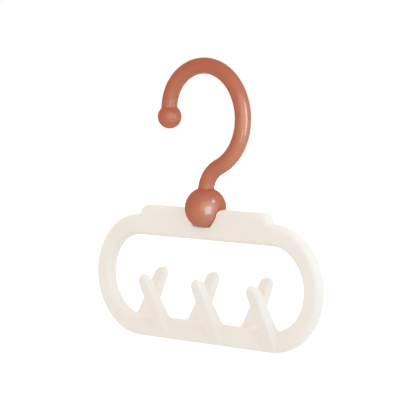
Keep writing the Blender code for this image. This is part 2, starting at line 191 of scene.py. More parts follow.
class HangerHookSizes(bpy.types.PropertyGroup):
    rod_radius: length("Rod radius", "Half the thickness of the hook's rod", 0.0042)
    neck_radius: length("Neck radius", "Radius of the first bend, above the ball", 0.0156)
    neck_sweep: angle("Neck sweep", "Turn of the first bend", 66.8)
    hook_radius: length("Hook radius", "Radius of the main bend", 0.0273)
    handover: angle("Handover", "Where the tip's bend takes over, from +X", 128)
    tip_radius: length("Tip bend radius", "Radius of the tip's bend", 0.0222)
    tip_angle: angle("Tip angle", "Where the tip's bend ends, from +X", 190)
    tip_ball_radius: length("Tip ball", "Radius of the ball on the tip", 0.0063)
    tip_fillet: length("Tip fillet", "Length of the soft neck before the tip's ball", 0.0011)
    ball_radius: length("Ball radius", "Radius of the swivel ball", 0.0109)
    ball_base_radius: length("Ball base", "Radius of the ball's flat base", 0.0055)
    base_round: length("Base round", "Round of the edge of the ball's base", 0.0005)
    foot_height: length("Foot height", "Height of the hook's foot over the ball's centre", 0.00745)
    seat_gap: length("Seat gap", "Room between the foot of the hook and the ball", 0.0003)
    pin_radius: length("Pin radius", "Half the thickness of the swivel pin", 0.0011)
    pin_in_foot: length("Pin in foot", "How far the pin reaches into the foot", 0.0040)
    pin_head_radius: length("Pin head", "Radius of the pin's head", 0.0017)
    pin_head_room: length("Pin head room", "Room for the pin's head in its seat", 0.0015)
    running_gap: length("Running gap", "Room between the pin and its bore in the frame", 0.0002)


class HangerFinish(bpy.types.PropertyGroup):
    cream: colour("Cream", "Colour of the moulded frame", 243, 232, 222)
    # Painted highlight: a near-white colour laid on the notch's rounded edges in place of light catching them.
    cream_painted_highlight: colour("Cream edge", "Colour of the notch's painted-highlight edges", 255, 255, 252)
    cream_roughness: number("Cream roughness", "Roughness of the moulded frame", 0.42)
    cream_shine: number("Cream shine", "Strength of the frame's reflections", 0.15)
    cream_glow: number("Cream glow", "Share of light that scatters in the frame", 0.15)
    cream_glow_depth: length("Cream glow depth", "How deep that light goes", 0.0015)
    coral: colour("Coral", "Colour of the hook and the ball", 174, 88, 59)
    coral_sheen: colour("Coral sheen", "Tint of the soft reflections under the gloss", 255, 206, 176)
    coral_roughness: number("Coral roughness", "Roughness under the clear gloss", 0.68)
    coral_shine: number("Coral shine", "Strength of the reflections under the gloss", 0.3)
    coral_gloss: number("Coral gloss", "Share of the clear gloss on the coral", 0.25)
    rod_gloss_roughness: number("Rod gloss roughness", "Roughness of the hook's clear gloss", 0.21)
    gloss_full: number("Gloss full", "Slant up to which the clear gloss is full", 0.18)
    gloss_faint: number("Gloss faint", "Slant from which the clear gloss is faint", 0.5)
    gloss_left: number("Gloss left", "Share of it that is left at the outlines", 0.03)
    ball_gloss_roughness: number("Ball gloss roughness", "Roughness of the ball's clear gloss", 0.15)
    steel: colour("Steel", "Colour of the swivel pin", 190, 190, 192)
    steel_roughness: number("Steel roughness", "Roughness of the swivel pin", 0.3)


class HangerStudio(bpy.types.PropertyGroup):
    azimuth: angle("Azimuth", "Camera's turn from the front of the hanger towards +X", 43.11)
    elevation: angle("Elevation", "Camera's height angle", 4.47)
    roll: angle("Roll", "Camera's roll", -0.19)
    distance: length("Distance", "From the camera to the middle of the view", 1.025)
    aim_right: length("Aim right", "Camera's offset to the right of the ring's centre", 0.00126)
    aim_up: length("Aim up", "Camera's offset above the ring's centre", 0.03837)
    focal_pixels: number("Focal length", "Camera's focal length in pixels", 1956)
    floor_drop: length("Floor drop", "From the lowest point of the hanger to the floor", 0.12)
    floor_radius: length("Floor radius", "Radius of the round floor", 4.0)
    floor: colour("Floor", "Colour of the floor", 236, 235, 233)
    floor_lift: number("Floor lift", "Light that the floor adds for the camera", 0.6)
    ambient: number("Ambient", "Strength of the even light from all round", 1.0)
    daylight: colour("Daylight", "Tint of the lamps", 155, 225, 255)
    key: number("Key light", "Share of a white level that the large lamp gives", 0.32)
    lamplight: colour("Lamplight", "Tint of the broad lamp in front", 245, 246, 244)
    front_glow: number("Front glow", "Brightness of the broad lamp in front", 4.5)
    low_fill: number("Low fill", "Brightness of the low lamp", 19)
    low_tint: colour("Low tint", "Tint of the low lamp", 110, 212, 255)
    side_glint: number("Side glint", "Brightness of the tall lamp at the side", 50)
    ball_glint: number("Ball glint", "Brightness of the ball's main lamp", 30)
    high_glint: number("High glint", "Brightness of the ball's high lamp", 75)
    tip_glint: number("Tip glint", "Brightness of the lamp for the hook's tip", 26)


def finish_piece(obj, material, body):
    """Shades a piece, gives it its material and lets it ride on its body."""
    obj.data.shade_smooth()
    obj.data.set_sharp_from_angle(angle=SMOOTH_ANGLE)
    obj.data.materials.clear()
    obj.data.materials.append(material)
    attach(obj, body)


def ring_centre(sizes):
    return FRAME_LOW.z + sizes.ring_outer_radius


def ball_base(sizes):
    return BALL_LOW.z - ring_centre(sizes)


def ball_centre(sizes, hook):
    return ball_base(sizes) + math.sqrt(hook.ball_radius**2 - hook.ball_base_radius**2)


def verts_of(geom):
    return [g for g in geom if isinstance(g, bmesh.types.BMVert)]


def edges_of(geom):
    return [g for g in geom if isinstance(g, bmesh.types.BMEdge)]


class Pen:
    """Draws a wire in a plane y = const: every move adds its edges to the bmesh."""

    def __init__(self, bm, x, z, y=0.0):
        self.bm = bm
        self.y = y
        self.tip = bm.verts.new((x, y, z))
        self.first = self.tip
        self.verts = [self.tip]

    def line_to(self, x, z):
        made = bmesh.ops.extrude_vert_indiv(self.bm, verts=[self.tip])
        self.tip = made["verts"][0]
        self.tip.co = (x, self.y, z)
        self.verts.append(self.tip)

    def turn(self, x, z, sweep, steps):
        """Turns about (x, z), from +X towards +Z for a positive sweep."""
        for _ in range(steps):
            made = bmesh.ops.spin(
                self.bm, geom=[self.tip], cent=(x, self.y, z), axis=(0, -1, 0), angle=sweep / steps, steps=1
            )
            self.tip = verts_of(made["geom_last"])[0]
            self.verts.append(self.tip)

    def close(self):
        self.bm.edges.new((self.tip, self.first))

    def edges(self):
        ends = set(self.verts)
        return list({e for v in self.verts for e in v.link_edges if set(e.verts) <= ends})


def bevel(bm, geom, radius, segments, affect="EDGES"):
    return bmesh.ops.bevel(
        bm,
        geom=geom,
        offset=radius,
        offset_type="OFFSET",
        affect=affect,
        segments=segments,
        profile=0.5,
        clamp_overlap=True,
        material=-1,
    )


def mirror_right_half(bm):
    bmesh.ops.mirror(bm, geom=bm.verts[:] + bm.edges[:] + bm.faces[:], merge_dist=WELD, axis="X")
    bmesh.ops.remove_doubles(bm, verts=bm.verts, dist=WELD)


def turn_round_axis(bm, edges, sides):
    """Turns a wire that starts and ends on the axis into a closed solid."""
    verts = list({v for e in edges for v in e.verts})
    bmesh.ops.spin(
        bm, geom=verts + edges, cent=(0, 0, 0), axis=(0, 0, 1), angle=math.tau, steps=sides, use_merge=True
    )
    bmesh.ops.remove_doubles(bm, verts=bm.verts, dist=WELD)
    bmesh.ops.recalc_face_normals(bm, faces=bm.faces)


def face_edges(bm, depth, keep):
    """Edges that lie in the front or the back face and pass a test on their two corners."""
    found = []
    for edge in bm.edges:
        ys = {round(v.co.y, 6) for v in edge.verts}
        if len(ys) == 1 and abs(abs(ys.pop()) - depth / 2) < WELD and keep(edge):
            found.append(edge)
    return found


def ring_solid(sizes):
    """The long ring: half of its outline is drawn, given its depth and rounded edges, and mirrored."""
    bm = bmesh.new()
    half = FRAME_HIGH.x - sizes.ring_outer_radius
    inner_half = half + sizes.end_thinning
    pen = Pen(bm, 0, -sizes.ring_outer_radius, -sizes.depth / 2)
    pen.line_to(half, -sizes.ring_outer_radius)
    pen.turn(half, 0, math.pi, ARC_STEPS)
    pen.line_to(0, sizes.ring_outer_radius)
    pen.line_to(0, sizes.ring_inner_radius)
    pen.line_to(inner_half, sizes.ring_inner_radius)
    pen.turn(inner_half, 0, -math.pi, ARC_STEPS)
    pen.line_to(0, -sizes.ring_inner_radius)
    pen.close()
    face = bmesh.ops.contextual_create(bm, geom=bm.edges[:])["faces"]
    made = bmesh.ops.extrude_face_region(bm, geom=face)
    bmesh.ops.translate(bm, verts=verts_of(made["geom"]), vec=(0, sizes.depth, 0))

    def off_seam(edge):
        return max(v.co.x for v in edge.verts) > WELD

    bevel(bm, face_edges(bm, sizes.depth, off_seam), sizes.edge_radius, ROUND_STEPS)
    seam = [f for f in bm.faces if all(abs(v.co.x) < WELD for v in f.verts)]
    bmesh.ops.delete(bm, geom=seam, context="FACES_ONLY")
    mirror_right_half(bm)
    return bm


def saddle_solid(sizes):
    """The saddle's block, with its foot inside the ring's top rail."""
    bm = bmesh.new()
    top = sizes.ring_outer_radius + sizes.saddle_rise
    foot = (sizes.ring_outer_radius + sizes.ring_inner_radius) / 2
    bmesh.ops.create_cube(bm, size=1)
    bmesh.ops.scale(bm, verts=bm.verts, vec=(sizes.saddle_half_length * 2, sizes.depth, top - foot))
    bmesh.ops.translate(bm, verts=bm.verts, vec=(0, 0, (top + foot) / 2))
    corners = [e for e in bm.edges if all(v.co.z > foot + WELD for v in e.verts)]
    corners = [e for e in corners if abs(e.verts[0].co.y - e.verts[1].co.y) > WELD]
    bevel(bm, corners, sizes.saddle_corner, SADDLE_CORNER_STEPS)

    def off_foot(edge):
        return max(v.co.z for v in edge.verts) > foot + WELD

    bevel(bm, face_edges(bm, sizes.depth, off_foot), sizes.edge_radius, ROUND_STEPS)
    return bm


def meet(point, way, other, other_way):
    """Where two lines in the (out, up) plane cross."""
    return point + way * ((other - point).cross(other_way) / way.cross(other_way))


def prong_lines(sizes):
    """A prong's outer and inner face from root to shoulder, and its own direction, as (out, up)."""
    outer_way = Vector((math.sin(sizes.prong_outer_lean), math.cos(sizes.prong_outer_lean)))
    inner_way = Vector((math.sin(sizes.prong_inner_lean), math.cos(sizes.prong_inner_lean)))
    outward = Vector((outer_way.y, -outer_way.x))
    rail_round = Vector((sizes.depth / 2 - sizes.edge_radius, sizes.edge_radius - sizes.ring_outer_radius))
    outer_root = rail_round + outward * (sizes.edge_radius - sizes.prong_sunk)
    rail_top = Vector((0, -sizes.ring_inner_radius))
    level = Vector((1, 0))
    outer_crossing = meet(outer_root, outer_way, rail_top, level)
    inner_foot = meet(outer_crossing - outward * sizes.prong_thickness, outer_way, rail_top, level)
    axis = (outer_way + inner_way).normalized()
    across = Vector((axis.y, -axis.x))
    shoulder = (outer_crossing + inner_foot) / 2 + axis * (sizes.prong_rise / axis.y)
    outer_end = meet(shoulder, across, outer_root, outer_way)
    inner_end = meet(shoulder, across, inner_foot, inner_way)
    return outer_root, outer_end, inner_foot, inner_end, axis


def prong_stations(sizes):
    """(share along the faces, side fillet, share of the tip) for each section, from the root to the tip."""
    fillet_share = sizes.prong_fillet / sizes.prong_rise
    stations = [(-PRONG_BURIED, sizes.prong_fillet, 0)]
    for i in range(ROUND_STEPS + 1):
        turn = QUARTER * i / ROUND_STEPS
        stations.append((fillet_share * (1 - math.cos(turn)), sizes.prong_fillet * (1 - math.sin(turn)), 0))
    for i in range(1, PRONG_BODY_STEPS + 1):
        stations.append((fillet_share + (1 - fillet_share) * i / PRONG_BODY_STEPS, 0, 0))
    for i in range(1, PRONG_TIP_STEPS):
        stations.append((1, 0, math.sin(QUARTER * i / PRONG_TIP_STEPS)))
    return stations


def prong_section(bm, sizes, outer, inner, face, back, shrink, place_x, side):
    """A closed loop with rounded corners across a prong."""
    middle = (outer + inner) / 2
    near = middle + (outer - middle) * shrink
    far = middle + (inner - middle) * shrink
    corners = []
    for x, point in ((face, near), (-face, near), (-back, far), (back, far)):
        corners.append(bm.verts.new((place_x + x / 2 * shrink, side * point.x, point.y)))
    bmesh.ops.contextual_create(bm, geom=corners)
    narrow = min((near - far).length, face * shrink) / 2
    radius = min(sizes.prong_corner, narrow * ROUND_LIMIT)
    made = bevel(bm, corners, radius, PRONG_CORNER_STEPS, "VERTICES")
    rim = list({e for v in made["verts"] for e in v.link_edges})
    sheet = list({f for e in rim for f in e.link_faces})
    bmesh.ops.delete(bm, geom=sheet, context="FACES_ONLY")
    return rim


def add_prong(bm, sizes, place_x, side):
    """One prong at place_x, leaning to the front or to the back."""
    outer_root, outer_end, inner_root, inner_end, axis = prong_lines(sizes)
    rims = []
    for share, fillet, tip in prong_stations(sizes):
        lift = axis * (sizes.prong_tip * tip)
        outer = outer_root.lerp(outer_end, max(0, share)) + lift
        inner = inner_root.lerp(inner_end, share) + lift
        face = sizes.prong_root_width + (sizes.prong_tip_width - sizes.prong_root_width) * max(0, share)
        back = face + sizes.prong_draft + fillet * 2
        shrink = math.sqrt(1 - tip**2)
        rims.append(prong_section(bm, sizes, outer, inner, face, back, shrink, place_x, side))
    for lower, upper in zip(rims, rims[1:]):
        bmesh.ops.bridge_loops(bm, edges=lower + upper)
    for rim in (rims[0], rims[-1]):
        bmesh.ops.contextual_create(bm, geom=rim)


def prongs_solid(sizes):
    bm = bmesh.new()
    first = -sizes.prong_pitch * (sizes.prong_count - 1) / 2
    for i in range(sizes.prong_count):
        add_prong(bm, sizes, first + sizes.prong_pitch * i, FRONT if i % 2 else BACK)
    return bm


def notch_wire(bm, sizes, hook, growth):
    """The right half of the notch's outline, widened by growth."""
    centre = ball_centre(sizes, hook)
    top = sizes.ring_outer_radius + sizes.saddle_rise
    floor = ball_base(sizes) - sizes.notch_gap - growth
    radius = math.sqrt((hook.ball_radius + sizes.notch_gap) ** 2 - (sizes.depth / 2) ** 2)
    lip_z = top - sizes.notch_lip
    lip_x = math.sqrt((radius + sizes.notch_lip) ** 2 - (lip_z - centre) ** 2)
    lip_angle = math.atan2(lip_z - centre, lip_x)
    wide = radius + growth
    leave_x = wide * math.cos(sizes.notch_leave)
    leave_z = centre + wide * math.sin(sizes.notch_leave)
    floor_x = leave_x + (leave_z - floor) * math.tan(sizes.notch_leave)
    pen = Pen(bm, 0, floor)
    pen.line_to(floor_x, floor)
    pen.line_to(leave_x, leave_z)
    pen.turn(0, centre, lip_angle - sizes.notch_leave, NOTCH_WALL_STEPS)
    pen.turn(lip_x, lip_z, QUARTER - lip_angle - math.pi, NOTCH_LIP_STEPS)
    pen.line_to(lip_x, top + OVERRUN)
    pen.line_to(0, top + OVERRUN)
    return pen


def saddle_face(sizes, z):
    """Half the saddle's depth at the height z, and how far its surface has turned up there, from 0 to 1."""
    low = sizes.ring_outer_radius + sizes.saddle_rise - sizes.edge_radius
    upward = min(1, max(0, z - low) / sizes.edge_radius)
    return sizes.depth / 2 - sizes.edge_radius * (1 - math.sqrt(1 - upward**2)), upward


def notch_layer(bm, sizes, hook, turn, side):
    """The notch's outline at one step of its rounded edge, which leaves the face at EDGE_LEAVE."""
    wire = notch_wire(bm, sizes, hook, 0)
    spare = bmesh.new()
    wide = notch_wire(spare, sizes, hook, sizes.notch_edge)
    for vert, far in zip(wire.verts, wide.verts):
        away = far.co - vert.co
        face, upward = saddle_face(sizes, vert.co.z)
        share = 1 - max(0, -away.z / sizes.notch_edge) * upward
        vert.co += away * (1 - math.sin(turn)) * share
        depth = sizes.notch_edge * (math.cos(EDGE_LEAVE) - math.cos(turn)) * share
        vert.co.y = side * (face - depth)
    spare.free()
    return wire


def notch_solid(sizes, hook):
    """The notch's cutter, flared at both faces so that the notch has rounded edges."""
    bm = bmesh.new()
    turns = [EDGE_LEAVE / 2]
    for i in range(NOTCH_EDGE_STEPS + 1):
        turns.append(EDGE_LEAVE + (QUARTER - EDGE_LEAVE) * i / NOTCH_EDGE_STEPS)
    layers = [notch_layer(bm, sizes, hook, turn, FRONT) for turn in turns]
    layers += [notch_layer(bm, sizes, hook, turn, BACK) for turn in reversed(turns)]
    for near, far in zip(layers, layers[1:]):
        bmesh.ops.bridge_loops(bm, edges=near.edges() + far.edges())
    for layer, side in ((layers[0], FRONT), (layers[-1], BACK)):
        made = bmesh.ops.extrude_edge_only(bm, edges=layer.edges())["geom"]
        for vert in verts_of(made):
            vert.co.y = side * (sizes.depth / 2 + OVERRUN)
    mirror_right_half(bm)
    bmesh.ops.holes_fill(bm, edges=bm.edges[:], sides=0)
    return bm


def socket_solid(sizes, hook):
    """The round hollow in the middle of the notch that clears the ball."""
    bm = bmesh.new()
    centre = ball_centre(sizes, hook)
    floor = ball_base(sizes) - sizes.notch_gap
    top = sizes.ring_outer_radius + sizes.saddle_rise + OVERRUN
    radius = hook.ball_radius + sizes.notch_gap
    low = math.asin((floor - centre) / radius)
    pen = Pen(bm, 0, floor)
    pen.line_to(radius * math.cos(low), floor)
    pen.turn(0, centre, -low, SOCKET_STEPS)
    pen.line_to(radius, top)
    pen.line_to(0, top)
    turn_round_axis(bm, pen.edges(), SOCKET_SIDES)
    return bm


def pin_way_solid(sizes, hook):
    """The bore and the counterbore under the ball that the pin runs in."""
    bm = bmesh.new()
    pin_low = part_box("swivel_pin")[0]
    shoulder = pin_low.z - ring_centre(sizes) + hook.pin_head_room
    head = hook.pin_head_radius + hook.seat_gap
    bore = hook.pin_radius + hook.running_gap
    high = ball_base(sizes) + OVERRUN
    pen = Pen(bm, 0, sizes.ring_inner_radius - OVERRUN)
    pen.line_to(head, sizes.ring_inner_radius - OVERRUN)
    pen.line_to(head, shoulder)
    pen.line_to(bore, shoulder)
    pen.line_to(bore, high)
    pen.line_to(0, high)
    turn_round_axis(bm, pen.edges(), PIN_SIDES)
    return bm


def object_of(name, bm):
    """An object made of a bmesh: a piece, the floor, or a helper solid, which settle removes."""
    bmesh.ops.remove_doubles(bm, verts=bm.verts, dist=WELD)
    bmesh.ops.recalc_face_normals(bm, faces=bm.faces)
    mesh = bpy.data.meshes.new(name)
    bm.to_mesh(mesh)
    bm.free()
    obj = bpy.data.objects.new(name, mesh)
    bpy.context.scene.collection.objects.link(obj)
    return obj


def add_boolean(obj, tool, operation):
    modifier = obj.modifiers.new(tool.name, "BOOLEAN")
    modifier.operation = operation
    modifier.solver = "EXACT"
    modifier.object = tool


def apply_modifiers(obj):
    """Makes the shape that the modifiers give the object's own mesh, and drops them."""
    graph = bpy.context.evaluated_depsgraph_get()
    mesh = bpy.data.meshes.new_from_object(obj.evaluated_get(graph))
    if not mesh.polygons:
        raise RuntimeError(obj.name + " came out empty")
    old = obj.data
    obj.modifiers.clear()
    obj.data = mesh
    bpy.data.meshes.remove(old)


def settle(obj, sizes, tools):
    """Applies the modifiers, removes the helper solids and lifts the piece to its place in the model."""
    apply_modifiers(obj)
    for tool in tools:
        bpy.data.objects.remove(tool)
    obj.data.transform(Matrix.Translation((0, 0, ring_centre(sizes))))


def material_base(name, colour_value, roughness):
    """A node material with a Principled shader and object coordinates."""
    material = bpy.data.materials.new(name)
    material.use_nodes = True
    tree = material.node_tree
    shader = tree.nodes["Principled BSDF"]
    shader.inputs["Base Color"].default_value = (*colour_value, 1)
    shader.inputs["Roughness"].default_value = roughness
    place = tree.nodes.new("ShaderNodeTexCoord")
    return material, tree, shader, place.outputs["Object"]


def noise_node(tree, place, scale, detail):
    noise = tree.nodes.new("ShaderNodeTexNoise")
    noise.inputs["Scale"].default_value = scale
    noise.inputs["Detail"].default_value = detail
    tree.links.new(place, noise.inputs["Vector"])
    return noise.outputs["Fac"]


def tinted(tree, value, colour_value, spread):
    """A colour that wanders a little darker and lighter with a noise."""
    ramp = tree.nodes.new("ShaderNodeValToRGB")
    dark, light = ramp.color_ramp.elements
    for stop, position, share in ((dark, NOISE_LOW, 1 - spread), (light, NOISE_HIGH, 1 + spread)):
        stop.position = position
        stop.color = (*[min(1, channel * share) for channel in colour_value], 1)
    tree.links.new(value, ramp.inputs["Fac"])
    return ramp.outputs["Color"]


def range_node(tree, value, low, high, start=NOISE_LOW, end=NOISE_HIGH):
    """Spreads the middle of a noise, or another stretch, over a range of numbers, such as a roughness."""
    spread = tree.nodes.new("ShaderNodeMapRange")
    spread.inputs["From Min"].default_value = start
    spread.inputs["From Max"].default_value = end
    spread.inputs["To Min"].default_value = low
    spread.inputs["To Max"].default_value = high
    tree.links.new(value, spread.inputs["Value"])
    return spread.outputs["Result"]


def bump_node(tree, height, distance, strength, normal=None):
    bump = tree.nodes.new("ShaderNodeBump")
    bump.inputs["Distance"].default_value = distance
    bump.inputs["Strength"].default_value = strength
    tree.links.new(height, bump.inputs["Height"])
    if normal:
        tree.links.new(normal, bump.inputs["Normal"])
    return bump.outputs["Normal"]


def vary_roughness(tree, shader, noise, roughness, less, more):
    rough = range_node(tree, noise, roughness - less, roughness + more)
    tree.links.new(rough, shader.inputs["Roughness"])


def math_node(tree, operation, first, second=None):
    node = tree.nodes.new("ShaderNodeMath")
    node.operation = operation
    tree.links.new(first, node.inputs[0])
    if second:
        tree.links.new(second, node.inputs[1])
    return node.outputs[0]


def edge_highlight_share(tree, place, notch, lip):
    """Where the notch's painted highlight goes: 1 on the notch's rounded edges below its lips, by the way that
    they face, and 0 elsewhere.
    """
    facing = tree.nodes.new("ShaderNodeSeparateXYZ")
    tree.links.new(tree.nodes.new("ShaderNodeTexCoord").outputs["Normal"], facing.inputs[0])
    across = math_node(tree, "ABSOLUTE", facing.outputs["Y"])
    reach = tree.nodes.new("ShaderNodeVectorMath")
    reach.operation = "DISTANCE"
    tree.links.new(place, reach.inputs[0])
    reach.inputs[1].default_value = notch
    near = range_node(tree, reach.outputs["Value"], 1, 0, *HIGHLIGHT_REACH)
    off_wall = range_node(tree, across, 0, 1, *HIGHLIGHT_OFF_WALL)
    off_face = range_node(tree, across, 1, 0, *HIGHLIGHT_OFF_FACE)
    height = tree.nodes.new("ShaderNodeSeparateXYZ")
    tree.links.new(place, height.inputs[0])
    below_lip = range_node(tree, height.outputs["Z"], 1, 0, lip - HIGHLIGHT_UNDER_LIP, lip)
    edge = math_node(tree, "MULTIPLY", off_wall, off_face)
    return math_node(tree, "MULTIPLY", edge, math_node(tree, "MULTIPLY", near, below_lip))


def cream_material(finish, notch, lip):
    """Satin moulded plastic: a faint eggshell skin, slow clouding, a little warmth under the surface, and a
    near-white painted highlight along the notch's rounded edges.
    """
    material, tree, shader, place = material_base("cream_plastic_skin", finish.cream, finish.cream_roughness)
    cloud = noise_node(tree, place, scale=45, detail=3)
    tint = tinted(tree, cloud, finish.cream, spread=0.015)
    # Painted highlight: the notch's rounded edges are blended towards the near-white highlight colour.
    blend = tree.nodes.new("ShaderNodeMix")
    blend.data_type = "RGBA"
    tree.links.new(edge_highlight_share(tree, place, notch, lip), blend.inputs["Factor"])
    tree.links.new(tint, blend.inputs[6])
    blend.inputs[7].default_value = (*finish.cream_painted_highlight, 1)
    tree.links.new(blend.outputs[2], shader.inputs["Base Color"])
    patch = noise_node(tree, place, scale=90, detail=4)
    vary_roughness(tree, shader, patch, finish.cream_roughness, less=0.05, more=0.05)
    eggshell = noise_node(tree, place, scale=2600, detail=2)
    skin = bump_node(tree, eggshell, distance=0.00002, strength=0.25)
    uneven = bump_node(tree, patch, distance=0.0001, strength=0.1, normal=skin)
    tree.links.new(uneven, shader.inputs["Normal"])
    shader.inputs["Specular IOR Level"].default_value = finish.cream_shine
    shader.inputs["Subsurface Weight"].default_value = finish.cream_glow
    shader.inputs["Subsurface Radius"].default_value = CREAM_SCATTER
    shader.inputs["Subsurface Scale"].default_value = finish.cream_glow_depth
    return material


def gloss_fade(tree, finish):
    """The coral's clear gloss, full where it faces the viewer and faint at the outlines."""
    slant = tree.nodes.new("ShaderNodeLayerWeight").outputs["Facing"]
    faint = finish.coral_gloss * finish.gloss_left
    return range_node(tree, slant, finish.coral_gloss, faint, finish.gloss_full, finish.gloss_faint)


def coral_material(name, finish, gloss_roughness):
    """Glossy coloured plastic: slow flow marks in the colour and a faint waviness in the gloss."""
    material, tree, shader, place = material_base(name, finish.coral, finish.coral_roughness)
    flow = noise_node(tree, place, scale=60, detail=3)
    tree.links.new(tinted(tree, flow, finish.coral, spread=0.03), shader.inputs["Base Color"])
    haze = noise_node(tree, place, scale=140, detail=3)
    vary_roughness(tree, shader, haze, finish.coral_roughness, less=0.03, more=0.03)
    shader.inputs["Specular IOR Level"].default_value = finish.coral_shine
    shader.inputs["Specular Tint"].default_value = (*finish.coral_sheen, 1)
    tree.links.new(gloss_fade(tree, finish), shader.inputs["Coat Weight"])
    shader.inputs["Coat Roughness"].default_value = gloss_roughness
    wave = noise_node(tree, place, scale=180, detail=1)
    tree.links.new(bump_node(tree, wave, distance=0.0002, strength=0.06), shader.inputs["Normal"])
    return material


def steel_material(finish):
    """Bright drawn steel with fine turned lines round the pin."""
    material, tree, shader, place = material_base("pin_steel_turned", finish.steel, finish.steel_roughness)
    shader.inputs["Metallic"].default_value = 1
    lines = tree.nodes.new("ShaderNodeTexWave")
    lines.bands_direction = "Z"
    lines.inputs["Scale"].default_value = 1500
    lines.inputs["Distortion"].default_value = 1.5
    tree.links.new(place, lines.inputs["Vector"])
    turned = bump_node(tree, lines.outputs["Fac"], distance=0.00002, strength=0.3)
    tree.links.new(turned, shader.inputs["Normal"])
    stain = noise_node(tree, place, scale=900, detail=3)
    vary_roughness(tree, shader, stain, finish.steel_roughness, less=0.08, more=0.1)
    return material


class HANGER_OT_frame_moulding(bpy.types.Operator):
    """Builds the frame: ring, saddle with its notch, and the six prongs, as one moulding"""

    bl_idname = "hanger.frame_moulding"
    bl_label = "Frame moulding"

    def execute(self, context):
        sizes = context.scene.hanger_frame
        hook = context.scene.hanger_hook
        tools = [
            object_of("saddle_shape", saddle_solid(sizes)),
            object_of("prong_shapes", prongs_solid(sizes)),
            object_of("notch_cutter", notch_solid(sizes, hook)),
            object_of("socket_cutter", socket_solid(sizes, hook)),
            object_of("pin_way_cutter", pin_way_solid(sizes, hook)),
        ]
        obj = object_of("frame_moulding", ring_solid(sizes))
        for tool in tools[:2]:
            add_boolean(obj, tool, "UNION")
        skin = obj.modifiers.new("skin", "REMESH")
        skin.mode = "VOXEL"
        skin.voxel_size = sizes.grain
        soften = obj.modifiers.new("soften", "SMOOTH")
        soften.factor = sizes.soften_share
        soften.iterations = sizes.soften_rounds
        for tool in tools[2:]:
            add_boolean(obj, tool, "DIFFERENCE")
        settle(obj, sizes, tools)
        middle = (0, 0, ring_centre(sizes) + ball_centre(sizes, hook))
        lip = ring_centre(sizes) + sizes.ring_outer_radius + sizes.saddle_rise - sizes.edge_radius
        cream = cream_material(context.scene.hanger_finish, middle, lip)
        finish_piece(obj, cream, "frame_body")
        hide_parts("frame")
        return {"FINISHED"}


def hook_centres(sizes, hook):
    """The centres of the hook's three bends, and the height of its foot."""
    foot = ball_centre(sizes, hook) + hook.foot_height
    neck = Vector((hook.neck_radius, 0, foot))
    rise = math.pi - hook.neck_sweep
    main = neck + Vector((math.cos(rise), 0, math.sin(rise))) * (hook.neck_radius + hook.hook_radius)
    handover = Vector((math.cos(hook.handover), 0, math.sin(hook.handover)))
    tip = main + handover * (hook.hook_radius - hook.tip_radius)
    return neck, main, tip, foot


def rod_solid(sizes, hook, radius, foot_drop, stop_short):
    """The rod's tube along its three bends. It stops short of the tip by an angle, and its end is left open."""
    bm = bmesh.new()
    neck, main, tip, foot = hook_centres(sizes, hook)
    low = Matrix.Translation((0, 0, foot - foot_drop))
    made = bmesh.ops.create_circle(bm, segments=ROD_SIDES, radius=radius, matrix=low)
    edges = list({e for v in made["verts"] for e in v.link_edges})
    bmesh.ops.contextual_create(bm, geom=edges)
    if foot_drop:
        made = bmesh.ops.extrude_edge_only(bm, edges=edges)["geom"]
        bmesh.ops.translate(bm, verts=verts_of(made), vec=(0, 0, foot_drop))
        edges = edges_of(made)
    bends = (
        (neck, hook.neck_sweep),
        (main, -(hook.handover + hook.neck_sweep)),
        (tip, -(hook.tip_angle - hook.handover - stop_short)),
    )
    for centre, sweep in bends:
        verts = list({v for e in edges for v in e.verts})
        made = bmesh.ops.spin(
            bm,
            geom=verts + edges,
            cent=centre,
            axis=(0, 1, 0),
            angle=sweep,
            steps=max(1, round(abs(sweep) / ROD_STEP)),
        )
        edges = edges_of(made["geom_last"])
    return bm, edges


def ring_frame(centre, way, radius):
    """The place, direction and size of one ring of a tube, as a matrix."""
    side = Vector((0, 1, 0))
    up = way.cross(side).normalized()
    turn = Matrix((side, up, way.normalized())).transposed().to_4x4()
    return Matrix.Translation(centre) @ turn @ Matrix.Scale(radius, 4)


def on_bend(centre, radius, angle):
    """The place and the direction of travel at an angle on a bend."""
    spoke = Vector((math.cos(angle), 0, math.sin(angle)))
    return centre + spoke * radius, Vector((-spoke.z, 0, spoke.x))


def add_tip_ball(bm, edges, sizes, hook):
    """Carries the rod's open end on along its bend, then through a soft neck into the ball on its tip."""
    _, _, tip, _ = hook_centres(sizes, hook)
    fillet = hook.tip_fillet
    joined = hook.rod_radius + fillet
    reach = math.sqrt((hook.tip_ball_radius + fillet) ** 2 - joined**2)
    contact = math.atan2(joined, reach)
    neck = 2 * math.asin(reach / (2 * hook.tip_radius))
    middle, _ = on_bend(tip, hook.tip_radius, hook.tip_angle)
    _, way = on_bend(tip, hook.tip_radius, hook.tip_angle - neck / 2)
    rings = []
    for i in range(1, TIP_BEND_STEPS + 1):
        angle = hook.tip_angle - TIP_STOP + (TIP_STOP - neck) * i / TIP_BEND_STEPS
        centre, along = on_bend(tip, hook.tip_radius, angle)
        rings.append((centre, along.lerp(way, i / TIP_BEND_STEPS), hook.rod_radius))
    for i in range(1, ROUND_STEPS + 1):
        bend = (QUARTER - contact) * i / ROUND_STEPS
        distance = fillet * math.sin(bend) - reach
        rings.append((middle + way * distance, way, joined - fillet * math.cos(bend)))
    for i in range(1, TIP_BALL_STEPS):
        swing = contact + (math.pi - contact) * i / TIP_BALL_STEPS
        distance = -hook.tip_ball_radius * math.cos(swing)
        rings.append((middle + way * distance, way, hook.tip_ball_radius * math.sin(swing)))
    centre, along = on_bend(tip, hook.tip_radius, hook.tip_angle - TIP_STOP)
    place = ring_frame(centre, along, hook.rod_radius)
    for centre, along, radius in rings:
        after = ring_frame(centre, along, radius)
        made = bmesh.ops.extrude_edge_only(bm, edges=edges)["geom"]
        bmesh.ops.transform(bm, matrix=after @ place.inverted(), verts=verts_of(made))
        edges = edges_of(made)
        place = after
    bmesh.ops.contextual_create(bm, geom=edges)


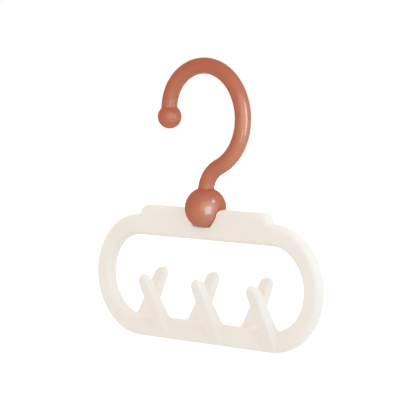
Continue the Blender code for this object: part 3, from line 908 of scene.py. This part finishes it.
def pin_hole_solid(sizes, hook):
    """The hole in the hook's foot and through the ball that the pin fills."""
    bm = bmesh.new()
    _, _, _, foot = hook_centres(sizes, hook)
    hole = hook.pin_radius + hook.seat_gap
    low = ball_base(sizes) - OVERRUN
    high = foot + hook.pin_in_foot + hook.seat_gap
    pen = Pen(bm, 0, low)
    pen.line_to(hole, low)
    pen.line_to(hole, high)
    pen.line_to(0, high)
    turn_round_axis(bm, pen.edges(), PIN_SIDES)
    return bm


class HANGER_OT_hook_rod(bpy.types.Operator):
    """Builds the hook: one rod in three bends, with a ball on its tip"""

    bl_idname = "hanger.hook_rod"
    bl_label = "Hook rod"

    def execute(self, context):
        sizes = context.scene.hanger_frame
        hook = context.scene.hanger_hook
        bm, edges = rod_solid(sizes, hook, hook.rod_radius, 0, TIP_STOP)
        add_tip_ball(bm, edges, sizes, hook)
        obj = object_of("hook_rod", bm)
        hole = object_of("foot_hole_cutter", pin_hole_solid(sizes, hook))
        add_boolean(obj, hole, "DIFFERENCE")
        settle(obj, sizes, [hole])
        finish = context.scene.hanger_finish
        coral = coral_material("coral_rod_gloss", finish, finish.rod_gloss_roughness)
        finish_piece(obj, coral, "hook_body")
        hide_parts("hook")
        return {"FINISHED"}


class HANGER_OT_ball_bead(bpy.types.Operator):
    """Builds the swivel ball, with its flat base and the socket for the hook's foot"""

    bl_idname = "hanger.ball_bead"
    bl_label = "Swivel ball"

    def execute(self, context):
        sizes = context.scene.hanger_frame
        hook = context.scene.hanger_hook
        centre = ball_centre(sizes, hook)
        base = ball_base(sizes)
        start = math.atan2(base - centre, hook.ball_base_radius)
        bm = bmesh.new()
        pen = Pen(bm, 0, base)
        pen.line_to(hook.ball_base_radius - hook.base_round, base)
        pen.line_to(hook.ball_radius * math.cos(start), centre + hook.ball_radius * math.sin(start))
        pen.turn(0, centre, QUARTER - start, ARC_STEPS)
        turn_round_axis(bm, pen.edges(), BALL_SIDES)
        obj = object_of("ball_bead", bm)
        socket, rim = rod_solid(sizes, hook, hook.rod_radius + hook.seat_gap, hook.seat_gap, 0)
        bmesh.ops.contextual_create(socket, geom=rim)
        tools = [
            object_of("socket_cutter", socket),
            object_of("ball_hole_cutter", pin_hole_solid(sizes, hook)),
        ]
        for tool in tools:
            add_boolean(obj, tool, "DIFFERENCE")
        settle(obj, sizes, tools)
        finish = context.scene.hanger_finish
        coral = coral_material("coral_ball_gloss", finish, finish.ball_gloss_roughness)
        finish_piece(obj, coral, "hook_body")
        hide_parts("swivel_ball")
        return {"FINISHED"}


class HANGER_OT_pin_finish(bpy.types.Operator):
    """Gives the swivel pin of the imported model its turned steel"""

    bl_idname = "hanger.pin_finish"
    bl_label = "Swivel pin finish"

    def execute(self, context):
        steel = steel_material(context.scene.hanger_finish)
        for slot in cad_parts["swivel_pin"].material_slots:
            slot.material = steel
        return {"FINISHED"}


def direction(azimuth, elevation):
    """A unit vector from the object, turned from the front towards +X and up."""
    flat = math.cos(elevation)
    return Vector((math.sin(azimuth) * flat, -math.cos(azimuth) * flat, math.sin(elevation)))


def light_path_share(tree):
    """1 for camera, glossy and transmission rays, and 0 for the light that falls on things."""
    path = tree.nodes.new("ShaderNodeLightPath")
    total = path.outputs["Is Camera Ray"]
    for name in ("Is Glossy Ray", "Is Transmission Ray"):
        total = math_node(tree, "MAXIMUM", total, path.outputs[name])
    return total


def white_world(studio):
    world = bpy.data.worlds.new("studio_white")
    bpy.context.scene.world = world
    world.use_nodes = True
    tree = world.node_tree
    background = tree.nodes["Background"]
    background.inputs["Color"].default_value = WHITE
    level = range_node(tree, light_path_share(tree), studio.ambient, 1, start=0, end=1)
    tree.links.new(level, background.inputs["Strength"])


def floor_material(studio):
    """A pale matt floor that keeps shadows, lifted towards white where it is seen."""
    material, tree, shader, place = material_base("studio_floor_paper", studio.floor, roughness=0.9)
    fibre = noise_node(tree, place, scale=30, detail=4)
    tree.links.new(tinted(tree, fibre, studio.floor, spread=0.005), shader.inputs["Base Color"])
    shader.inputs["Specular IOR Level"].default_value = 0
    shader.inputs["Emission Color"].default_value = WHITE
    lift = range_node(tree, light_path_share(tree), 0, studio.floor_lift, start=0, end=1)
    tree.links.new(lift, shader.inputs["Emission Strength"])
    return material


def area_lamp(name, aim, place, size, radiance, tint):
    """A rectangular lamp that faces aim from a place (azimuth and elevation in degrees, distance)."""
    azimuth, elevation, distance = place
    way = direction(math.radians(azimuth), math.radians(elevation))
    lamp = bpy.data.lights.new(name, "AREA")
    lamp.shape = "RECTANGLE"
    lamp.size, lamp.size_y = size
    lamp.energy = radiance * math.pi * lamp.size * lamp.size_y
    lamp.color = tint
    obj = bpy.data.objects.new(name, lamp)
    obj.location = aim + way * distance
    obj.rotation_euler = way.to_track_quat("Z", "Y").to_euler()
    obj.visible_camera = False
    bpy.context.scene.collection.objects.link(obj)
    return obj


class HANGER_OT_stage(bpy.types.Operator):
    """Builds the studio: a plain floor, white surroundings, the lamps and the camera"""

    bl_idname = "hanger.stage"
    bl_label = "Studio stage"

    def execute(self, context):
        sizes = context.scene.hanger_frame
        studio = context.scene.hanger_studio
        centre = Vector((0, 0, ring_centre(sizes)))
        bm = bmesh.new()
        low = Matrix.Translation((0, 0, FRAME_LOW.z - studio.floor_drop))
        bmesh.ops.create_circle(bm, cap_ends=True, segments=FLOOR_SIDES, radius=studio.floor_radius, matrix=low)
        floor = object_of("studio_floor", bm)
        floor.data.materials.append(floor_material(studio))
        white_world(studio)
        self.add_lamps(studio, centre)
        self.add_camera(studio, centre)
        return {"FINISHED"}

    def add_lamps(self, studio, centre):
        """A soft key at the side for everything, and lamps for the coral pieces.

        Those only show in the gloss, but for the low fill, which only lights the surface under it.
        """
        width, height = KEY_SIZE
        radiance = studio.key * math.pi * KEY_PLACE[2] ** 2 / (width * height)
        area_lamp("key_softbox", centre + BALL_AIM, KEY_PLACE, KEY_SIZE, radiance, studio.daylight)
        for name, aim, place, size, brightness, tint, pieces in CORAL_LAMPS:
            radiance = getattr(studio, brightness)
            lamp = area_lamp(name, centre + aim, place, size, radiance, getattr(studio, tint))
            lamp.visible_glossy = name != "low_fill"
            lamp.visible_diffuse = name == "low_fill"
            if name == "front_glow":
                lamp.data.shape = "ELLIPSE"
            lit = bpy.data.collections.new(name + "_pieces")
            for piece in pieces:
                lit.objects.link(bpy.data.objects[piece])
            lamp.light_linking.receiver_collection = lit

    def add_camera(self, studio, centre):
        """The camera that the photograph was taken with, as far as its outlines tell."""
        back = direction(studio.azimuth, studio.elevation)
        level = Vector((math.cos(studio.azimuth), math.sin(studio.azimuth), 0))
        rise = back.cross(level)
        place = centre + back * studio.distance + level * studio.aim_right + rise * studio.aim_up
        right = level * math.cos(studio.roll) - rise * math.sin(studio.roll)
        up = level * math.sin(studio.roll) + rise * math.cos(studio.roll)
        lens = bpy.data.cameras.new("photo_camera")
        lens.sensor_width = SENSOR_WIDTH
        lens.lens = studio.focal_pixels / IMAGE_WIDTH * lens.sensor_width
        lens.clip_start = NEAR_CLIP
        camera = bpy.data.objects.new("photo_camera", lens)
        camera.matrix_world = Matrix.Translation(place) @ Matrix((right, up, back)).transposed().to_4x4()
        bpy.context.scene.collection.objects.link(camera)
        bpy.context.scene.camera = camera


class HANGER_PT_panel(bpy.types.Panel):
    """Lists the hanger's sizes, colours and operators"""

    bl_label = "Multi-hook hanger"
    bl_idname = "HANGER_PT_panel"
    bl_space_type = "VIEW_3D"
    bl_region_type = "UI"
    bl_category = "Hanger"

    def draw(self, context):
        for scene_name, _ in GROUPS:
            group = getattr(context.scene, scene_name)
            box = self.layout.box()
            for name in group.bl_rna.properties.keys():
                if name not in ("rna_type", "name"):
                    box.prop(group, name)
        for operator in OPERATORS:
            self.layout.operator(operator.bl_idname)


GROUPS = (
    ("hanger_frame", HangerFrameSizes),
    ("hanger_hook", HangerHookSizes),
    ("hanger_finish", HangerFinish),
    ("hanger_studio", HangerStudio),
)
OPERATORS = (
    HANGER_OT_frame_moulding,
    HANGER_OT_hook_rod,
    HANGER_OT_ball_bead,
    HANGER_OT_pin_finish,
    HANGER_OT_stage,
)


def register():
    for name, group in GROUPS:
        bpy.utils.register_class(group)
        setattr(bpy.types.Scene, name, PointerProperty(type=group))
    for operator in OPERATORS:
        bpy.utils.register_class(operator)
    bpy.utils.register_class(HANGER_PT_panel)


def unregister():
    bpy.utils.unregister_class(HANGER_PT_panel)
    for operator in reversed(OPERATORS):
        bpy.utils.unregister_class(operator)
    for name, group in reversed(GROUPS):
        delattr(bpy.types.Scene, name)
        bpy.utils.unregister_class(group)


def main():
    register()
    bpy.context.scene.view_settings.view_transform = "Standard"
    bpy.ops.hanger.frame_moulding()
    bpy.ops.hanger.hook_rod()
    bpy.ops.hanger.ball_bead()
    bpy.ops.hanger.pin_finish()
    bpy.ops.hanger.stage()
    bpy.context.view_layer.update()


if __name__ == "__main__":
    main()
